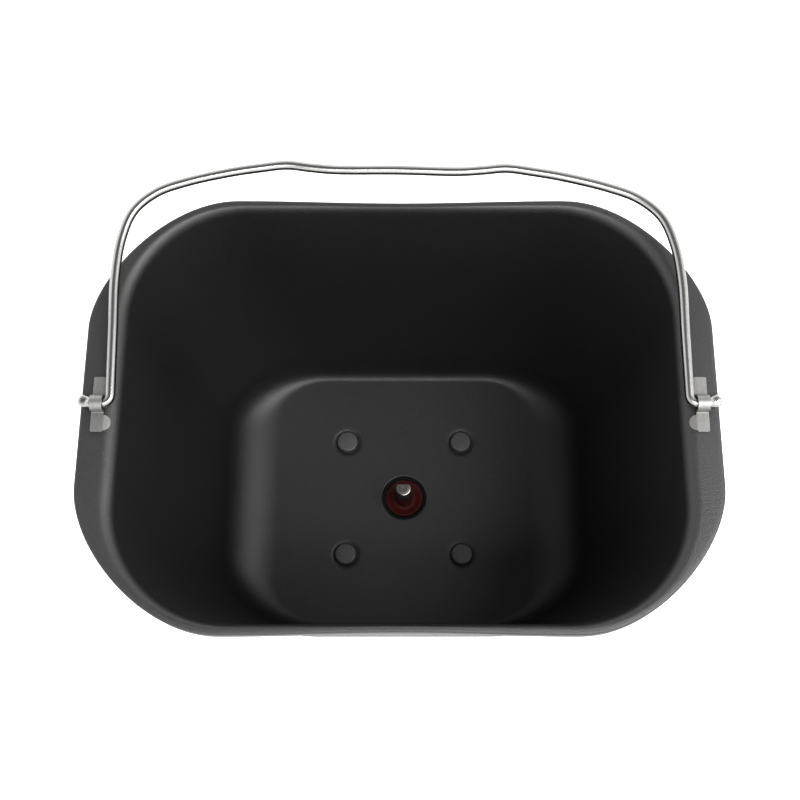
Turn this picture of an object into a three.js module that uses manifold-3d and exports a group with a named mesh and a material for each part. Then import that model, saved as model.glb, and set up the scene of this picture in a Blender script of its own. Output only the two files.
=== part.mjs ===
// Baking pan of a bread machine: a deep non-stick pan with a wire bail handle, and below its
// floor a base ring, a bearing housing and the drive shaft that turns the kneading blade.
// Millimetres. X is the pan's length and +Y its back. Z is the drive shaft's axis, and z = 0 is
// the plane that the base ring stands on.

import * as THREE from 'three';
import { mergeVertices } from 'three/addons/utils/BufferGeometryUtils.js';
import Module from 'manifold-3d';

const wasm = await Module();
wasm.setup();

// ---- Driving dimensions -------------------------------------------------------------------

const GAP = 0.3;                   // left between pieces that touch
const RUNNING_GAP = 0.15;          // radial, between the shaft and what it turns in

const panDepth = 135;              // inside, from the floor to the top of the rim
const panWall = 1.2;               // sheet thickness of the drawn pan
const baseHeight = 24.3;           // from the standing plane to the underside of the floor
const floorZ = baseHeight + panWall;
const rimZ = floorZ + panDepth;

const floorHalf = { x: 74, y: 59 };          // where the walls would meet a floor with no fillet
const floorFillet = { x: 19, y: 5.5, z: 14 };  // wide at the pan's ends, tight along its sides
const flatStraight = { x: 34, y: 36 };       // half lengths of the flat floor's straight edges
const footStraight = { x: 35, y: 27 };       // the same where the walls begin, above the fillet
const rimStart = { x: 96.1, y: 72.1 };       // where the rim's top becomes flat
const rimRound = { x: 5, y: 2.1, z: 5 };     // rounding from the wall on to the rim
const rimCorner = 42;
const flangeHalf = { x: 103.8, y: 73.9 };    // outline of the flange round the rim
const flangeEnd = 27;                        // half length of the straight ends
const flangeSide = 56;                       // half length of the long straight sides
const flangeKnee = { x: 24.3, y: 18.7 };     // how far the corner curve keeps each direction
const flangeWaist = 0.9;                     // the long sides draw in this much at the middle
const lipHeight = 5;
const lipThickness = 0.9;
const edgeRound = 0.8;

const holeRadius = 9.5;                      // shaft hole in the floor
const holeEdge = 0.3;                        // its broken upper edge

const rivetSquare = 50;
const rivet = { shank: 2.2, head: 4.9, headTop: 4.1, headHeight: 1.7, tail: 3.8, tailHeight: 1.4 };

const ring = { outer: 44, sheet: 1.2, bend: 2, foot: 4.5, bore: 13 };
const lug = { width: 12, reach: 3, low: 5, high: 10 };

const housing = { plateHalf: 31, plateCorner: 6.5, plate: 2.5, boss: 11, neck: 12.7, flare: 1.5 };
const rib = { half: 2, reach: 27, depth: 3 };
const bossBottom = 11.6;
const neckTop = baseHeight - 1.4;
const bushBore = 6.3;
const sealPocket = { radius: 7.9, bottom: 19.5 };

const lowerBushShape = { flange: 8, flangeLow: 10.3, top: 15 };
const upperBushShape = { bottom: 15.5, shoulder: 19.8, top: 20.6 };
const lowerWasher = { outer: 8, low: 9.4, high: 10 };
const upperWasher = { outer: 7, low: 20.9, high: 21.4 };
const gasket = { inner: 8.4, outer: 12.4, low: 23.2, high: 24 };
const seal = { body: 7.6, flange: 8.05, low: 22.7, seat: 23.2, rim: 24.9, lip: 24.3, underLip: 23.6 };

const journal = 4;                           // radius of the shaft in its bushes
const spindle = 3.15;                        // radius of the shaft inside the pan
const spindleTop = floorZ + 18;
const spindleChamfer = 0.3;
const flatPlace = 1.64;                      // the D-flat's distance from the axis
const flatLength = 14;
const shaftBottom = 1;
const collar = { radius: 5.5, low: 21.7, high: 22.4 };

const hub = { radius: 9, top: 8 };
const wing = { reach: 17.5, root: 5, tip: 3 };
const pinRadius = 1.35;
const pinZ = 4.6;

const wireRadius = 1.6;
const pivotHeight = wireRadius + GAP;        // of the handle's axis above the flange
const pivotZ = rimZ + pivotHeight;
const restAngle = THREE.MathUtils.degToRad(5.5);
const legX = 93.8;
const wireBend = 2.6;                        // from the leg into the pivot
const wireEnd = 100.6;
const tip = { length: 4, width: 3.4, thickness: 2, turn: THREE.MathUtils.degToRad(20) };

const strap = { inner: 95.9, width: 4, sheet: 0.8, tunnel: 2, reach: 9.3 };
const ear = { radius: 2.7, middle: 6.2, droop: THREE.MathUtils.degToRad(15) };
const prong = { width: 2.4, sheet: 0.8, y: 6.2, drop: 2.3, fold: 3 };

// ---- Helpers ------------------------------------------------------------------------------

function toSolid(geometry) {
  const plain = geometry.clone();
  plain.deleteAttribute('normal');
  plain.deleteAttribute('uv');
  const merged = mergeVertices(plain, 1e-4);
  return new wasm.Manifold(new wasm.Mesh({
    numProp: 3,
    vertProperties: Float32Array.from(merged.attributes.position.array),
    triVerts: Uint32Array.from(merged.index.array),
  }));
}

function toGeometry(solid) {
  const mesh = solid.getMesh();
  const geometry = new THREE.BufferGeometry();
  geometry.setAttribute('position', new THREE.BufferAttribute(mesh.vertProperties, 3));
  geometry.setIndex(new THREE.BufferAttribute(mesh.triVerts, 1));
  geometry.computeVertexNormals();
  return geometry;
}

function cut(body, ...tools) {
  return toGeometry(tools.reduce((rest, tool) => rest.subtract(toSolid(tool)), toSolid(body)));
}

function join(...bodies) {
  return toGeometry(bodies.slice(1).reduce((sum, body) => sum.add(toSolid(body)), toSolid(bodies[0])));
}

// A solid of revolution about Z, from points [radius, z].
function turned(profile, segments = 32) {
  const points = profile.map(([radius, z]) => new THREE.Vector2(radius, z));
  return new THREE.LatheGeometry(points, segments).rotateX(Math.PI / 2);
}

// A ring of revolution: the profile is closed on itself.
function turnedRing(profile, segments = 32) {
  return turned([...profile, profile[0]], segments);
}

function upright(shape, low, high, curveSegments = 10) {
  const options = { depth: high - low, bevelEnabled: false, curveSegments };
  return new THREE.ExtrudeGeometry(shape, options).translate(0, 0, low);
}

function peg(radius, low, high, segments = 16) {
  const height = high - low;
  return new THREE.CylinderGeometry(radius, radius, height, segments)
    .rotateX(Math.PI / 2)
    .translate(0, 0, low + height / 2);
}

function block(low, high) {
  const size = high.map((value, axis) => value - low[axis]);
  const middle = high.map((value, axis) => (value + low[axis]) / 2);
  return new THREE.BoxGeometry(...size).translate(...middle);
}

function piece(name, geometry, material) {
  const mesh = new THREE.Mesh(geometry, material);
  mesh.name = name;
  return mesh;
}

function finish(color, roughness, metalness) {
  return new THREE.MeshStandardMaterial({ color, roughness, metalness });
}

// ---- Materials ----------------------------------------------------------------------------

const nonStick = finish(0x3a3a3c, 0.5, 0.3);
const pressedAluminium = finish(0xb4b5b8, 0.45, 0.9);
const castAluminium = finish(0x9b9ca0, 0.6, 0.8);
const stainless = finish(0xc9cacc, 0.3, 1.0);
const sinteredBronze = finish(0x9a6f3e, 0.55, 0.8);
const redSilicone = finish(0x6b1c18, 0.6, 0.0);
const blackSilicone = finish(0x151515, 0.7, 0.0);
const castZinc = finish(0x8f9195, 0.5, 0.8);

// ---- Pan ----------------------------------------------------------------------------------

// The pan is a loft of closed outlines, from the hole up the inside, over the rim and back down
// the outside. Each outline has the same number of points, counted round from +X.
const cornerSteps = 8;
const sideSteps = 3;
const quarterSteps = 1 + cornerSteps + sideSteps;

function outline({ x, y, sideX, sideY, kneeX, kneeY, waist = 0 }, z) {
  const knee = new THREE.CubicBezierCurve(
    new THREE.Vector2(x, sideY),
    new THREE.Vector2(x, sideY + kneeY),
    new THREE.Vector2(sideX + kneeX, y),
    new THREE.Vector2(sideX, y),
  );
  const quarter = [new THREE.Vector2(x, 0), ...knee.getPoints(cornerSteps)];
  for (let step = 1; step <= sideSteps; step += 1) {
    const along = 1 - step / sideSteps;
    const drawnIn = waist * (0.5 + 0.5 * Math.cos(Math.PI * along));
    quarter.push(new THREE.Vector2(sideX * along, y - drawnIn));
  }
  return roundAllQuarters(quarter, z);
}

function circle(radius, z) {
  const quarter = [];
  for (let step = 0; step <= quarterSteps; step += 1) {
    const angle = (Math.PI / 2) * (step / quarterSteps);
    quarter.push(new THREE.Vector2(radius * Math.cos(angle), radius * Math.sin(angle)));
  }
  return roundAllQuarters(quarter, z);
}

function roundAllQuarters(quarter, z) {
  const first = quarter.slice(0, -1);
  const mirrored = quarter.slice(1).reverse();
  const half = [
    ...first.map((p) => [p.x, p.y, z]),
    ...mirrored.map((p) => [-p.x, p.y, z]),
  ];
  return [...half, ...half.map(([x, y]) => [-x, -y, z])];
}

// A rectangle with elliptical corners, from the half lengths of its straight edges.
const quarterKnee = 0.5523;

function softRectangle(x, y, sideX, sideY, z) {
  const kneeX = quarterKnee * (x - sideX);
  const kneeY = quarterKnee * (y - sideY);
  return outline({ x, y, sideX, sideY, kneeX, kneeY }, z);
}

function flangeOutline(inset, z) {
  return outline({
    x: flangeHalf.x - inset,
    y: flangeHalf.y - inset,
    sideX: flangeSide,
    sideY: flangeEnd,
    kneeX: flangeKnee.x - 0.55 * inset,
    kneeY: flangeKnee.y - 0.55 * inset,
    waist: flangeWaist,
  }, z);
}

// Slope of each wall from the vertical, so that it runs from the floor into the rim's rounding.
const wallRise = panDepth - rimRound.z;
const slope = {
  x: (rimStart.x - rimRound.x - floorHalf.x) / wallRise,
  y: (rimStart.y - rimRound.y - floorHalf.y) / wallRise,
};

// Fillet between the floor and the walls: a quarter ellipse taken off the sloping wall. The
// offset is 0 for the pan's inside and the wall's thickness for its outside.
function filletOutline(offset, angle) {
  const height = (floorFillet.z + offset) * (1 - Math.cos(angle));
  const inward = 1 - Math.sin(angle);
  const x = floorHalf.x + offset + height * slope.x - (floorFillet.x + offset) * inward;
  const y = floorHalf.y + offset + height * slope.y - (floorFillet.y + offset) * inward;
  const sideX = THREE.MathUtils.lerp(footStraight.x, flatStraight.x, inward);
  const sideY = THREE.MathUtils.lerp(footStraight.y, flatStraight.y, inward);
  return softRectangle(x, y, sideX, sideY, floorZ - offset + height);
}

function rimOutline(offset, angle) {
  const x = rimStart.x - (rimRound.x - offset) * Math.cos(angle);
  const y = rimStart.y - (rimRound.y - offset) * Math.cos(angle);
  const corner = rimCorner - (rimStart.x - x) * 0.6;
  const drop = (rimRound.z - offset) * (1 - Math.sin(angle));
  return softRectangle(x, y, x - corner, y - corner, rimZ - offset - drop);
}

function wallOutlines(offset) {
  const steps = 5;
  const shares = Array.from({ length: steps + 1 }, (unused, step) => step / steps);
  const draft = Math.atan(slope.x);
  return [
    ...shares.map((share) => filletOutline(offset, share * (Math.PI / 2))),
    ...shares.map((share) => rimOutline(offset, draft + share * (Math.PI / 2 - draft))),
  ];
}

function loftClosed(outlines) {
  const count = outlines[0].length;
  const positions = outlines.flat(2);
  const indices = [];
  for (let level = 0; level < outlines.length; level += 1) {
    const here = level * count;
    const next = ((level + 1) % outlines.length) * count;
    for (let i = 0; i < count; i += 1) {
      const j = (i + 1) % count;
      indices.push(here + i, next + i, next + j, here + i, next + j, here + j);
    }
  }
  const geometry = new THREE.BufferGeometry();
  geometry.setAttribute('position', new THREE.Float32BufferAttribute(positions, 3));
  geometry.setIndex(indices);
  return geometry;
}

function panShell() {
  const underFlange = rimZ - panWall;
  return loftClosed([
    circle(holeRadius, floorZ - panWall),
    circle(holeRadius, floorZ - holeEdge),
    circle(holeRadius + holeEdge, floorZ),
    ...wallOutlines(0),
    flangeOutline(edgeRound, rimZ),
    flangeOutline(0.3 * edgeRound, rimZ - 0.3 * edgeRound),
    flangeOutline(0, rimZ - edgeRound),
    flangeOutline(0, rimZ - lipHeight),
    flangeOutline(lipThickness, rimZ - lipHeight),
    flangeOutline(lipThickness, underFlange),
    ...wallOutlines(panWall).reverse(),
  ]);
}

function rivetPlaces() {
  const half = rivetSquare / 2;
  return [
    { name: 'front_left', x: -half, y: -half },
    { name: 'front_right', x: half, y: -half },
    { name: 'back_left', x: -half, y: half },
    { name: 'back_right', x: half, y: half },
  ];
}

function rivetHoles(low, high) {
  return rivetPlaces().map(({ x, y }) => peg(rivet.shank + GAP, low, high).translate(x, y, 0));
}

// Slots in the flange for the prongs of the two handle clips.
function prongSlots() {
  const slots = [];
  for (const sideX of [-1, 1]) {
    for (const sideY of [-1, 1]) {
      const x = sideX * (strap.inner + strap.width / 2);
      const halfX = prong.sheet / 2 + GAP;
      const halfY = prong.width / 2 + GAP;
      slots.push(block(
        [x - halfX, sideY * prong.y - halfY, rimZ - 2 * panWall],
        [x + halfX, sideY * prong.y + halfY, rimZ + panWall],
      ));
    }
  }
  return slots;
}

function panBody() {
  return cut(panShell(), ...rivetHoles(baseHeight - 1, floorZ + 1), ...prongSlots());
}

// ---- Base -----------------------------------------------------------------------------------

const ringTop = baseHeight - GAP;
const ringUnder = ringTop - ring.sheet;
const plateTop = ringUnder - GAP;
const plateUnder = plateTop - housing.plate;

function baseRing() {
  const inner = ring.outer - ring.sheet;
  const shell = turnedRing([
    [ring.bore, ringUnder],
    [inner - ring.bend + ring.sheet, ringUnder],
    [inner, ringUnder - ring.bend + ring.sheet],
    [inner, ring.sheet],
    [ring.outer - ring.foot, ring.sheet],
    [ring.outer - ring.foot, 0],
    [ring.outer, 0],
    [ring.outer, ringTop - ring.bend],
    [ring.outer - 0.3 * ring.bend, ringTop - 0.3 * ring.bend],
    [ring.outer - ring.bend, ringTop],
    [ring.bore, ringTop],
  ], 48);
  const lugs = [45, 135, 225, 315].map((degrees) => bayonetLug().rotateZ(degrees * Math.PI / 180));
  const body = join(shell, ...lugs);
  return cut(body, ...rivetHoles(ringUnder - 1, ringTop + 1));
}

// A wedge pressed out of the skirt, which a quarter turn locks under the machine's spring clips.
function bayonetLug() {
  const root = ring.outer - 0.6;
  const side = new THREE.Shape();
  side.moveTo(root, -lug.width / 2);
  side.lineTo(ring.outer + lug.reach, -lug.width / 2 + 2);
  side.lineTo(ring.outer + lug.reach, lug.width / 2 - 2);
  side.lineTo(root, lug.width / 2);
  side.closePath();
  return upright(side, lug.low, lug.high);
}

function roundedSquare(half, corner) {
  const shape = new THREE.Shape();
  const flat = half - corner;
  shape.moveTo(half, -flat);
  shape.absarc(flat, flat, corner, 0, Math.PI / 2);
  shape.absarc(-flat, flat, corner, Math.PI / 2, Math.PI);
  shape.absarc(-flat, -flat, corner, Math.PI, 1.5 * Math.PI);
  shape.absarc(flat, -flat, corner, 1.5 * Math.PI, 2 * Math.PI);
  return shape;
}

function bearingHousing() {
  const plate = upright(roundedSquare(housing.plateHalf, housing.plateCorner), plateUnder, plateTop, 4);
  const overlap = 0.5;
  const bossChamfer = 1;
  const boss = turned([
    [0, bossBottom],
    [housing.boss - bossChamfer, bossBottom],
    [housing.boss, bossBottom + bossChamfer],
    [housing.boss + housing.flare, plateUnder + overlap],
    [housing.neck, plateUnder + overlap],
    [housing.neck, neckTop],
    [0, neckTop],
  ]);
  const ribs = [0, Math.PI / 2].map((turn) => block(
    [-rib.half, -rib.reach, plateUnder - rib.depth],
    [rib.half, rib.reach, plateUnder + overlap],
  ).rotateZ(turn));
  const body = join(plate, boss, ...ribs);
  return cut(
    body,
    peg(bushBore, bossBottom - 1, neckTop + 1, 32),
    peg(sealPocket.radius, sealPocket.bottom, neckTop + 1, 32),
    ...rivetHoles(plateUnder - 1, plateTop + 1),
  );
}

function lowerBush() {
  const bore = journal + RUNNING_GAP;
  const outer = bushBore - GAP;
  const { flange, flangeLow, top } = lowerBushShape;
  return turnedRing([
    [bore, flangeLow],
    [flange, flangeLow],
    [flange, bossBottom - GAP],
    [outer, bossBottom - GAP],
    [outer, top],
    [bore, top],
  ]);
}

function upperBush() {
  const bore = journal + RUNNING_GAP;
  const outer = bushBore - GAP;
  const flange = sealPocket.radius - GAP;
  const { bottom, shoulder, top } = upperBushShape;
  return turnedRing([
    [bore, bottom],
    [outer, bottom],
    [outer, shoulder],
    [flange, shoulder],
    [flange, top],
    [bore, top],
  ]);
}

function flatRing({ inner = journal + GAP, outer, low, high }) {
  return turnedRing([[inner, low], [outer, low], [outer, high], [inner, high]]);
}

// Red silicone seal in the housing's pocket, dished down towards the shaft.
function shaftSeal() {
  const lip = spindle + GAP;
  const lipWidth = 1.6;
  const rimWidth = 0.5;
  return turnedRing([
    [lip, seal.underLip],
    [collar.radius + GAP, seal.low],
    [seal.body, seal.low],
    [seal.body, seal.seat],
    [seal.flange, seal.seat],
    [seal.flange, seal.rim],
    [seal.flange - rimWidth, seal.rim],
    [lip + lipWidth, seal.lip],
    [lip, seal.lip + 0.2],
  ]);
}

function panRivet() {
  const tailTop = plateUnder - GAP;
  const tailBottom = tailTop - rivet.tailHeight;
  const headLow = floorZ + GAP;
  const headTop = headLow + rivet.headHeight;
  return turned([
    [0, tailBottom],
    [rivet.tail - 1.2, tailBottom],
    [rivet.tail, tailTop - 0.5],
    [rivet.tail, tailTop],
    [rivet.shank, tailTop],
    [rivet.shank, headLow],
    [rivet.head, headLow],
    [rivet.head - 0.2, headTop - 0.8],
    [rivet.headTop, headTop],
    [0, headTop],
  ], 16);
}

// ---- Drive ----------------------------------------------------------------------------------

const clipLow = hub.top + GAP;
const clipHigh = clipLow + 0.8;
const grooveDepth = 0.6;

function crossHole(radius, reach) {
  return new THREE.CylinderGeometry(radius, radius, 2 * reach, 16)
    .rotateZ(Math.PI / 2)
    .translate(0, 0, pinZ);
}

function driveShaft() {
  const groove = journal - grooveDepth;
  const body = turned([
    [0, shaftBottom],
    [journal, shaftBottom],
    [journal, clipLow - 0.1],
    [groove, clipLow - 0.1],
    [groove, clipHigh + 0.1],
    [journal, clipHigh + 0.1],
    [journal, collar.low],
    [collar.radius, collar.low],
    [collar.radius, collar.high],
    [spindle, collar.high],
    [spindle, spindleTop - spindleChamfer],
    [spindle - spindleChamfer, spindleTop],
    [0, spindleTop],
  ]);
  const flat = block(
    [-10, flatPlace, spindleTop - flatLength],
    [10, 10, spindleTop + 1],
  );
  return cut(body, flat, crossHole(pinRadius + GAP, journal + 1));
}

// Open spring ring in the shaft's groove, under the lower washer.
function retainingRing() {
  const inner = journal - grooveDepth + GAP;
  const outer = inner + 2.2;
  const opening = 0.6;
  const shape = new THREE.Shape();
  shape.absarc(0, 0, outer, opening, 2 * Math.PI - opening, false);
  shape.absarc(0, 0, inner, 2 * Math.PI - opening, opening, true);
  shape.closePath();
  return upright(shape, clipLow, clipHigh, 16);
}

// Die-cast dog with two wings, which the machine's drive cup pushes round.
function driveCoupling() {
  const shape = new THREE.Shape();
  const rootAngle = Math.asin(wing.root / hub.radius);
  shape.moveTo(wing.reach, -wing.tip);
  shape.lineTo(wing.reach, wing.tip);
  shape.absarc(0, 0, hub.radius, rootAngle, Math.PI - rootAngle, false);
  shape.lineTo(-wing.reach, wing.tip);
  shape.lineTo(-wing.reach, -wing.tip);
  shape.absarc(0, 0, hub.radius, Math.PI + rootAngle, 2 * Math.PI - rootAngle, false);
  shape.closePath();
  const bore = new THREE.Path();
  bore.absarc(0, 0, journal + GAP, 0, 2 * Math.PI, true);
  shape.holes.push(bore);
  return cut(upright(shape, shaftBottom, hub.top, 12), crossHole(pinRadius + GAP, wing.reach + 5));
}

function couplingPin() {
  return crossHole(pinRadius, hub.radius + 1.5);
}

// ---- Handle ---------------------------------------------------------------------------------

// Centre line of the wire in its own plane: the pivots lie on the X axis, and the legs run
// along +Y. The wire was bent by hand, so the legs lean and the grip is a little askew.
const gripReach = 80;
const gripPoints = [
  [0, 80.5], [21, 80.3], [29, 80.9], [37, 81.7], [46, 80.6], [56, 78.9],
  [71, 75.2], [81, 71.3], [88.4, 64.8], [92.2, 55], [legX, 42],
];
const lean = 0.015;                          // sideways, for each millimetre from the pivots
const skew = 1.3 / (gripReach * 85);         // tips the grip down to the right

function bailPoint(x, y) {
  return new THREE.Vector3(x - lean * y, y - skew * x * y, 0);
}

function bailRoute() {
  const legFoot = 24;
  const right = [...gripPoints, [legX, legFoot]].reverse();
  const left = [...gripPoints.slice(1), [legX, legFoot]].map(([x, y]) => [-x, y]);
  const points = [...right, ...left].map(([x, y]) => bailPoint(x, y));
  return new THREE.CatmullRomCurve3(points, false, 'centripetal');
}

// One end of the wire: the leg's last stretch, the bend and the journal in the clip.
function pivotArc(side) {
  const points = [];
  const bendSteps = 6;
  for (let step = 0; step <= bendSteps; step += 1) {
    const angle = (Math.PI / 2) * (step / bendSteps);
    points.push(new THREE.Vector3(
      side * (legX + wireBend * (1 - Math.cos(angle))),
      wireBend * (1 - Math.sin(angle)),
      0,
    ));
  }
  points.push(new THREE.Vector3(side * wireEnd, 0, 0));
  return points;
}

function bailWirePoints() {
  const route = bailRoute().getPoints(56);
  const start = pivotArc(1).reverse();
  return [...start, ...route, ...pivotArc(-1)];
}

function bailHandle() {
  return join(sweep(bailWirePoints(), wireRadius, 10), flatTip(1), flatTip(-1));
}

// A round bar through a row of points that all lie in the plane z = 0, with flat ends.
function sweep(points, radius, sides) {
  const positions = [];
  const indices = [];
  points.forEach((point, i) => {
    const before = points[Math.max(i - 1, 0)];
    const after = points[Math.min(i + 1, points.length - 1)];
    const along = after.clone().sub(before).normalize();
    const across = new THREE.Vector3(along.y, -along.x, 0);
    for (let k = 0; k < sides; k += 1) {
      const angle = (2 * Math.PI * k) / sides;
      const place = point.clone().addScaledVector(across, radius * Math.cos(angle));
      positions.push(place.x, place.y, place.z + radius * Math.sin(angle));
    }
  });
  const last = (points.length - 1) * sides;
  for (let i = 0; i < points.length - 1; i += 1) {
    for (let k = 0; k < sides; k += 1) {
      const a = i * sides + k;
      const b = i * sides + ((k + 1) % sides);
      indices.push(a, b + sides, b, a, a + sides, b + sides);
    }
  }
  for (let k = 1; k < sides - 1; k += 1) {
    indices.push(0, k, k + 1, last, last + k + 1, last + k);
  }
  const geometry = new THREE.BufferGeometry();
  geometry.setAttribute('position', new THREE.Float32BufferAttribute(positions, 3));
  geometry.setIndex(indices);
  return geometry;
}

// The wire's end is squeezed flat outside the clip, so that it can't slide back in.
function flatTip(side) {
  const half = tip.width / 2;
  const neck = 0.6;
  const shape = new THREE.Shape();
  shape.moveTo(-0.8, -0.8 * half);
  shape.lineTo(neck, -half);
  shape.lineTo(tip.length - half, -half);
  shape.absarc(tip.length - half, 0, half, -Math.PI / 2, Math.PI / 2);
  shape.lineTo(neck, half);
  shape.lineTo(-0.8, 0.8 * half);
  shape.closePath();
  const body = upright(shape, -tip.thickness / 2, tip.thickness / 2, 6).rotateZ(tip.turn);
  if (side < 0) body.rotateY(Math.PI);
  return body.translate(side * (wireEnd - 0.3), 0, 0);
}

// Pressed strap over the wire's journal. Its tabs lie on the flange, each with an ear for the
// handle's leg to rest on and a prong that is clinched through a slot.
function handleClip(side) {
  const foot = rimZ + GAP;
  const top = foot + strap.sheet;
  const outer = strap.tunnel + strap.sheet;
  const section = new THREE.Shape();
  section.moveTo(strap.tunnel, foot);
  section.lineTo(strap.reach, foot);
  section.lineTo(strap.reach, top);
  section.lineTo(outer, top);
  section.absarc(0, pivotZ, outer, 0, Math.PI, false);
  section.lineTo(-outer, top);
  section.lineTo(-strap.reach, top);
  section.lineTo(-strap.reach, foot);
  section.lineTo(-strap.tunnel, foot);
  section.absarc(0, pivotZ, strap.tunnel, Math.PI, 0, true);
  section.closePath();
  const band = new THREE.ExtrudeGeometry(section, {
    depth: strap.width, bevelEnabled: false, curveSegments: 12,
  });
  band.rotateX(Math.PI / 2).rotateZ(Math.PI / 2).translate(strap.inner, 0, 0);
  const pieces = [band];
  for (const sideY of [-1, 1]) {
    pieces.push(restEar().translate(strap.inner + 0.1, sideY * ear.middle, foot));
    pieces.push(...clinchedProng(sideY));
  }
  const clip = join(...pieces);
  return side > 0 ? clip : clip.rotateZ(Math.PI);
}

function restEar() {
  const shape = new THREE.Shape();
  shape.moveTo(0, -ear.radius);
  shape.lineTo(0, ear.radius);
  shape.absarc(0, 0, ear.radius, Math.PI / 2, 1.5 * Math.PI, false);
  shape.closePath();
  return upright(shape, 0, strap.sheet, 10).rotateY(-ear.droop);
}

function clinchedProng(sideY) {
  const x = strap.inner + strap.width / 2;
  const low = rimZ - prong.drop;
  const y = [sideY * prong.y - prong.width / 2, sideY * prong.y + prong.width / 2];
  const halfSheet = prong.sheet / 2;
  return [
    block([x - halfSheet, y[0], low], [x + halfSheet, y[1], rimZ + GAP + 0.2]),
    block([x - prong.fold, y[0], low], [x + halfSheet, y[1], low + prong.sheet]),
  ];
}

// ---- Assembly -------------------------------------------------------------------------------

const pan = new THREE.Group();
pan.add(
  piece('pan_body', panBody(), nonStick),
  piece('base_ring', baseRing(), pressedAluminium),
  piece('bearing_housing', bearingHousing(), castAluminium),
  piece('upper_bush', upperBush(), sinteredBronze),
  piece('lower_bush', lowerBush(), sinteredBronze),
  piece('floor_gasket', flatRing(gasket), blackSilicone),
  piece('shaft_seal', shaftSeal(), redSilicone),
  piece('left_handle_clip', handleClip(-1), stainless),
  piece('right_handle_clip', handleClip(1), stainless),
);
for (const { name, x, y } of rivetPlaces()) {
  const body = piece(`pan_rivet_${name}`, panRivet(), nonStick);
  body.position.set(x, y, 0);
  pan.add(body);
}

const drive = new THREE.Group();
drive.add(
  piece('drive_shaft', driveShaft(), stainless),
  piece('upper_thrust_washer', flatRing(upperWasher), stainless),
  piece('lower_thrust_washer', flatRing(lowerWasher), stainless),
  piece('retaining_ring', retainingRing(), stainless),
  piece('drive_coupling', driveCoupling(), castZinc),
  piece('coupling_pin', couplingPin(), stainless),
);

const handle = new THREE.Group();
handle.position.z = pivotZ;
handle.rotation.x = restAngle;
handle.add(piece('bail_handle', bailHandle(), stainless));

pan.add(drive, handle);

export default pan;
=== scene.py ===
"""Baking pan of a bread machine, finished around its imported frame. Metres, +Z up, +Y the pan's back."""

import math
import random

import bmesh
import bpy
from mathutils import Matrix, Vector


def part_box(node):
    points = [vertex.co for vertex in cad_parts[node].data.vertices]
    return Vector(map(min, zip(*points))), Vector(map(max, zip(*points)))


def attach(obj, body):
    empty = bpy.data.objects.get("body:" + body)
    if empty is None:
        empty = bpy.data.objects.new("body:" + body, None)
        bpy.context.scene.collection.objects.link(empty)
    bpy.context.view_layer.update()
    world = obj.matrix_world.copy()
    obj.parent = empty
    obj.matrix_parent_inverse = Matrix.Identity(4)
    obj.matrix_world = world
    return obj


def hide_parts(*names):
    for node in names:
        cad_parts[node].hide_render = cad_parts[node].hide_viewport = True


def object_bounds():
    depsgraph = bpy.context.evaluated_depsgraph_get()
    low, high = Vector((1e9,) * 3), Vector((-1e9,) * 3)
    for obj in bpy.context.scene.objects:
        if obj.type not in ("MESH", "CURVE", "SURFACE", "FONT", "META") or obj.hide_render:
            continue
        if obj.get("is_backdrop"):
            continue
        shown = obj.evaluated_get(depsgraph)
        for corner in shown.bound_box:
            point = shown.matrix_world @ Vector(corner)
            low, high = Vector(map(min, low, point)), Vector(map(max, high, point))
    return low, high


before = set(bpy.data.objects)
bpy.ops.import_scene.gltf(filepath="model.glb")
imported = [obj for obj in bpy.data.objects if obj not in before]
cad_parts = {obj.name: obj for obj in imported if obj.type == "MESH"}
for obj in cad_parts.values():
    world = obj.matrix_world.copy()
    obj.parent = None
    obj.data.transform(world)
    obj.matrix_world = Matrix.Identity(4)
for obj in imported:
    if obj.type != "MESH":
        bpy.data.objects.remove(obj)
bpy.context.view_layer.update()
MM = 0.001

# ---- Camera -------------------------------------------------------------------------------
# The pan is looked at from close above its front edge, so that the whole floor shows between
# the walls. The view turns about the middle of the rim.

rim_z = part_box("pan_body")[1].z
rim_middle = Vector((0, 0, rim_z))

view_tilt = math.radians(72.5)
view_distance = 373 * MM
view_side_step = 5 * MM

camera_data = bpy.data.cameras.new("camera")
camera = bpy.data.objects.new("camera", camera_data)
bpy.context.scene.collection.objects.link(camera)
toward_camera = Vector((0, -math.cos(view_tilt), math.sin(view_tilt)))
camera.location = rim_middle + toward_camera * view_distance + Vector((view_side_step, 0, 0))
camera.rotation_euler = (math.pi / 2 - view_tilt, 0, 0)
camera_data.sensor_width = 36
camera_data.lens = 51.66
camera_data.shift_x = -view_side_step / view_distance * camera_data.lens / camera_data.sensor_width
camera_data.shift_y = 0.006
camera_data.clip_start = 0.01
bpy.context.scene.camera = camera


# ---- Table and light ------------------------------------------------------------------------
# A glowing white table in a light tent with bright sides and a dim top. The key lamp stands high on
# the right and a weaker lamp in front, so that surfaces which turn those ways are the brightest.

def new_object(name, mesh):
    made = bpy.data.objects.new(name, mesh)
    bpy.context.scene.collection.objects.link(made)
    return made


def new_material(name):
    material = bpy.data.materials.new(name)
    material.use_nodes = True
    return material, material.node_tree, material.node_tree.nodes["Principled BSDF"]


def wire(tree, source, target):
    tree.links.new(source, target)


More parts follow.
